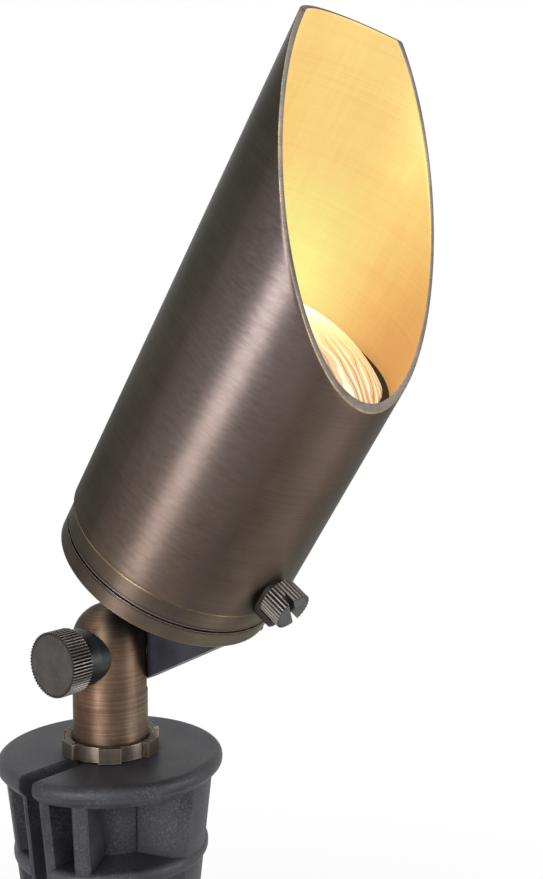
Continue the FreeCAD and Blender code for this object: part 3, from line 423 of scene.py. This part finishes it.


# The shroud's and the cap's bronze get painted shade and light by side and a painted highlight
# band.
bronze = brushed_metal("aged_bronze", (0.058, 0.045, 0.037), (0.084, 0.065, 0.054),
                       (0.122, 0.094, 0.079), tint=GREENISH, painted_light=0.85)
cap_bronze = brushed_metal("cap_bronze", (0.062, 0.050, 0.041), (0.094, 0.075, 0.060),
                           (0.150, 0.115, 0.086), patina=45.0, tint=GREENISH,
                           edges=(BAND_TOP,), painted_light=0.3, grime=(SEAM,),
                           corners=(0.42, 0.30, 0.17))
rim_bronze = brushed_metal("rim_bronze", (0.105, 0.092, 0.082), (0.165, 0.145, 0.130),
                           (0.26, 0.225, 0.205), roughness=0.5, patina=90.0, drawn=0.0)
edge_gold = brushed_metal("edge_gold", (0.15, 0.11, 0.075), (0.28, 0.205, 0.130),
                          (0.50, 0.37, 0.23), patina=110.0, drawn=0.0)
copper = brushed_metal("stem_copper", (0.084, 0.050, 0.036), (0.150, 0.089, 0.060),
                       (0.30, 0.176, 0.114), roughness=0.44, tilted=False, line=2400.0,
                       patina=60.0, grain=0.36, drawn=0.6, depth=0.08,
                       tint=(0.8, 1.0, 1.08), cool_above=KNUCKLE_TOP,
                       corners=(0.24, 0.19, 0.15))
grey_bronze = brushed_metal("nut_bronze", (0.075, 0.060, 0.048), (0.120, 0.098, 0.080),
                            (0.180, 0.146, 0.115), tilted=False, line=1200.0,
                            patina=160.0, corners=(0.36, 0.31, 0.25))
knob_bronze = knurled_metal("knob_bronze", PIVOT, (0, 1, 1), KNOB_RADIUS)
screw_bronze = knurled_metal("screw_bronze", (0, 0, SCREW_HEIGHT), (1, 0, 1), SCREW_RADIUS,
                             tilted=True)
boss_bronze = brushed_metal("boss_bronze", (0.05, 0.044, 0.041), (0.075, 0.067, 0.062),
                            (0.11, 0.098, 0.090), roughness=0.45, patina=200.0)
charcoal = plastic("stake_charcoal", (0.010, 0.010, 0.013), (0.033, 0.032, 0.039),
                   fineness=700.0, depth=0.12, gloss=0.34, scuffs=0.5)
black_rubber = plastic("black_rubber", (0.012, 0.012, 0.020), (0.028, 0.026, 0.040))
seal_rubber = plastic("seal_rubber", (0.030, 0.028, 0.042), (0.052, 0.048, 0.066))
gasket_brown = plastic("gasket_brown", (0.010, 0.006, 0.006), (0.022, 0.013, 0.011),
                       roughness=0.55, gloss=0.25)
dark_collar = plastic("dark_collar", (0.009, 0.010, 0.011), (0.018, 0.019, 0.020),
                      roughness=0.34, gloss=0.36)
lug_black = plastic("lug_black", (0.016, 0.016, 0.022), (0.034, 0.033, 0.044),
                    roughness=0.45, fineness=500.0, gloss=0.36)
ceramic = plastic("socket_ceramic", (0.62, 0.60, 0.54), (0.78, 0.76, 0.70), roughness=0.6)
white_plastic = plastic("white_plastic", (0.68, 0.68, 0.66), (0.82, 0.82, 0.80),
                        roughness=0.4)
dark_metal = brushed_metal("lamp_dark_metal", (0.035, 0.035, 0.038), (0.055, 0.055, 0.060),
                           (0.085, 0.085, 0.090), roughness=0.4, line=800.0, patina=200.0)
steel = brushed_metal("bright_steel", (0.42, 0.42, 0.43), (0.58, 0.58, 0.59),
                      (0.72, 0.72, 0.72), roughness=0.3, line=900.0, patina=150.0)
inside_painted_glow = lit_gold()
glass = lit_glass()
phosphor = warm_emitter()
optic = clear_optic()

# ---------------------------------------------------------------- CAD nodes that stay

FINISHES = {
    "ground_spike": charcoal, "knuckle_stem": copper, "lock_nut": grey_bronze,
    "clamp_knob": knob_bronze, "clamp_collar": dark_collar, "friction_washer": white_plastic,
    "head_lug": lug_black, "lug_screw_1": steel, "lug_screw_2": steel,
    "rear_cap": cap_bronze, "cap_seal": seal_rubber, "lamp_housing": cap_bronze,
    "lens_gasket": gasket_brown, "front_lens": glass, "lamp_bezel": dark_metal,
    "lamp_optic": optic, "emitter_board": white_plastic, "emitter_1": phosphor,
    "emitter_2": phosphor, "emitter_3": phosphor, "heat_sink": dark_metal,
    "lamp_base": white_plastic, "lamp_pin_1": steel, "lamp_pin_2": steel,
    "lamp_socket": ceramic, "socket_bracket": steel, "bracket_screw_1": steel,
    "bracket_screw_2": steel, "shroud_ring": black_rubber, "glare_shroud": bronze,
    "screw_boss": boss_bronze, "shroud_screw": screw_bronze}


CAD_SHARP, SPUN_SHARP = 32.0, 50.0     # degrees between faces that meet at an edge


def smooth(mesh, sharp):
    """Smooth shading, broken where faces meet more sharply than this."""
    for face in mesh.polygons:
        face.use_smooth = True
    mesh.set_sharp_from_angle(angle=math.radians(sharp))


for node, shade in FINISHES.items():
    piece = frame["nodes"][node]
    piece.data.materials.clear()
    piece.data.materials.append(shade.material)
    smooth(piece.data, CAD_SHARP)

# ---------------------------------------------------------------- shroud

SHROUD_SIDES = 288
SHROUD_LOW_SIDE = 63.1 * MM                   # from the foot to the mouth's lowest edge
MOUTH_RISE = math.tan(math.radians(52.3))     # of the mouth, for each length across
OUTSIDE, RIM, EDGE, INSIDE = range(4)


def shroud_sizes():
    """Outer and inner radius, foot and tip, read from the CAD solid."""
    corners = [TO_TUBE @ corner.co for corner in frame["nodes"]["glare_shroud"].data.vertices]
    radii = [math.hypot(corner.x, corner.y) for corner in corners]
    heights = [corner.z for corner in corners]
    return max(radii), min(radii), min(heights), max(heights)


def make_shroud():
    """Spun tube with rounded edges, its mouth sawn off at an angle and at the tip."""
    outer, inner, foot, tip = shroud_sizes()
    low_edge = foot + SHROUD_LOW_SIDE
    # Each step: radius, the end it is measured from, mm above that end, and the finish
    # of the strip that follows.
    steps = [
        (outer - 0.28 * MM, "foot", 0.0, EDGE), (outer - 0.08 * MM, "foot", 0.08, EDGE),
        (outer, "foot", 0.28, OUTSIDE), (outer, "foot", 1.3, OUTSIDE),
        (outer, "mouth", -1.5, OUTSIDE), (outer, "mouth", -0.26, EDGE),
        (outer - 0.06 * MM, "mouth", -0.07, EDGE), (outer - 0.18 * MM, "mouth", 0.0, RIM),
        (inner + 0.30 * MM, "mouth", 0.0, RIM), (inner + 0.08 * MM, "mouth", -0.12, INSIDE),
        (inner, "mouth", -0.40, INSIDE), (inner, "mouth", -1.5, INSIDE),
        (inner, "foot", 1.3, INSIDE), (inner, "foot", 0.28, OUTSIDE),
        (inner + 0.28 * MM, "foot", 0.0, OUTSIDE)]

    def mouth(radius, angle):
        return min(low_edge + (radius * math.sin(angle) + outer) * MOUTH_RISE, tip)

    corner = math.asin(((tip - low_edge) / MOUTH_RISE - outer) / outer)
    angles = [2 * math.pi * side / SHROUD_SIDES for side in range(SHROUD_SIDES)]
    angles = sorted(angles + [corner, math.pi - corner])
    made = bmesh.new()
    rings = []
    for angle in angles:
        ring = []
        for radius, end, rise, finish in steps:
            base = foot if end == "foot" else mouth(radius, angle)
            spot = Vector((radius * math.cos(angle), radius * math.sin(angle), base + rise * MM))
            ring.append(made.verts.new(TUBE @ spot))
        rings.append(ring)
    for ring, following in zip(rings, rings[1:] + rings[:1]):
        for index, step in enumerate(steps):
            after = (index + 1) % len(steps)
            face = made.faces.new((ring[index], following[index], following[after], ring[after]))
            face.material_index = step[3]
    bmesh.ops.recalc_face_normals(made, faces=made.faces)
    mesh = bpy.data.meshes.new("spun_shroud")
    made.to_mesh(mesh)
    made.free()
    for shade in (bronze, rim_bronze, edge_gold, inside_painted_glow):
        mesh.materials.append(shade.material)
    smooth(mesh, SPUN_SHARP)
    piece = bpy.data.objects.new("spun_shroud", mesh)
    scene.collection.objects.link(piece)
    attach(piece, "shroud")
    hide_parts("glare_shroud")


make_shroud()

# ---------------------------------------------------------------- stage, lights, camera

SPACE = 3.0                            # half of the floor's width
NEAR_SHARE = 0.76                      # of white in the floor under the part
FADE_FROM, FADE_TO = 0.12, 0.5         # from the part out, to pure white


def seen_as_white(tree):
    """1 for rays from the camera, gloss or glass, else 0."""
    path = tree.nodes.new("ShaderNodeLightPath")
    total = path.outputs["Is Camera Ray"]
    for kind in ("Is Glossy Ray", "Is Transmission Ray"):
        step = tree.nodes.new("ShaderNodeMath")
        step.operation = "MAXIMUM"
        tree.links.new(total, step.inputs[0])
        tree.links.new(path.outputs[kind], step.inputs[1])
        total = step.outputs[0]
    return total


def make_stage():
    """A pale floor under the stake's tip, which fades into the white background and
    keeps the object's shadow."""
    low = cad_box[0]
    corners = [(-SPACE, -SPACE, low.z), (SPACE, -SPACE, low.z), (SPACE, SPACE, low.z),
               (-SPACE, SPACE, low.z)]
    mesh = bpy.data.meshes.new("floor")
    mesh.from_pydata(corners, [], [(0, 1, 2, 3)])
    floor = bpy.data.objects.new("floor", mesh)
    scene.collection.objects.link(floor)
    shade = Shade("pale_floor", (0.86, 0.86, 0.86), 0.0, 0.7)
    cloud = shade.noise(shade.place(), 8.0)
    shade.feed("Base Color", shade.ramp(cloud, [(0.3, (0.84, 0.84, 0.84)),
                                                (0.7, (0.88, 0.88, 0.88))]))
    flat = shade.node("Mapping", {"Vector": shade.place(), "Scale": (1, 1, 0)}).outputs[0]
    reach = shade.node("VectorMath", {0: flat}, operation="LENGTH").outputs["Value"]
    share = shade.times(seen_as_white(shade.tree),
                        shade.spread(reach, FADE_FROM, FADE_TO, NEAR_SHARE, 1.0))
    white = shade.node("Emission", {"Color": (1, 1, 1, 1), "Strength": 1.0}).outputs[0]
    either = shade.node("MixShader", {0: share, 1: shade.shader.outputs[0], 2: white})
    shade.tree.links.new(either.outputs[0],
                         shade.tree.nodes["Material Output"].inputs["Surface"])
    mesh.materials.append(shade.material)


WORLD_LEVEL = 0.35


def make_world():
    """White where the camera, gloss or glass looks, and a plain level on the rest."""
    world = bpy.data.worlds.new("studio")
    scene.world = world
    world.use_nodes = True
    tree = world.node_tree
    tree.nodes.clear()
    backgrounds = []
    for strength in (WORLD_LEVEL, 1.0):
        made = tree.nodes.new("ShaderNodeBackground")
        made.inputs["Color"].default_value = (1, 1, 1, 1)
        made.inputs["Strength"].default_value = strength
        backgrounds.append(made)
    either = tree.nodes.new("ShaderNodeMixShader")
    output = tree.nodes.new("ShaderNodeOutputWorld")
    tree.links.new(seen_as_white(tree), either.inputs[0])
    for index, made in enumerate(backgrounds, start=1):
        tree.links.new(made.outputs[0], either.inputs[index])
    tree.links.new(either.outputs[0], output.inputs[0])


LIT_MIDDLE = Vector((0, -0.05, 0.13))
LIGHTS = [     # name, place, size, power, direction of the second side
    ("key", (-0.745, -0.235, 0.17), (0.24, 0.80), 6.5, HEAD_AXIS),
    ("fill", (0.40, -1.0, 0.15), (0.5, 0.8), 6.0, (0, 0, 1)),
    ("top", (0.0, 0.1, 1.1), (0.8, 0.8), 2.0, (0, 0, 1))]


def soft_light(name, place, size, power, upright):
    """A rectangle of light that faces the part, its second side along upright."""
    light = bpy.data.lights.new(name, "AREA")
    light.shape = "RECTANGLE"
    light.size, light.size_y = size
    light.energy = power
    lamp = bpy.data.objects.new(name, light)
    scene.collection.objects.link(lamp)
    back = (Vector(place) - LIT_MIDDLE).normalized()
    up = Vector(upright)
    up = (up - back * up.dot(back)).normalized()
    lamp.matrix_world = axes_at(Vector(place), up.cross(back), up, back)


# The camera was fitted to edges of the part in the photo.
CAMERA_PLACE = Vector((-233.82, -246.31, 118.98)) * MM
CAMERA_RIGHT = Vector((0.6258, -0.7800, 0.0))
CAMERA_BACK = Vector((-0.77683, -0.62321, 0.09028))
FOCAL_PIXELS, PHOTO_HEIGHT = 1211.5, 879
SENSOR = 36.0                # mm


def make_camera():
    camera = bpy.data.cameras.new("camera")
    camera.sensor_width = SENSOR
    camera.lens = FOCAL_PIXELS * SENSOR / PHOTO_HEIGHT
    camera.clip_start, camera.clip_end = 0.01, 50
    eye = bpy.data.objects.new("camera", camera)
    scene.collection.objects.link(eye)
    back = CAMERA_BACK.normalized()
    right = (CAMERA_RIGHT - back * CAMERA_RIGHT.dot(back)).normalized()
    eye.matrix_world = axes_at(CAMERA_PLACE, right, back.cross(right), back)
    scene.camera = eye


make_stage()
make_world()
make_camera()
for settings in LIGHTS:
    soft_light(*settings)
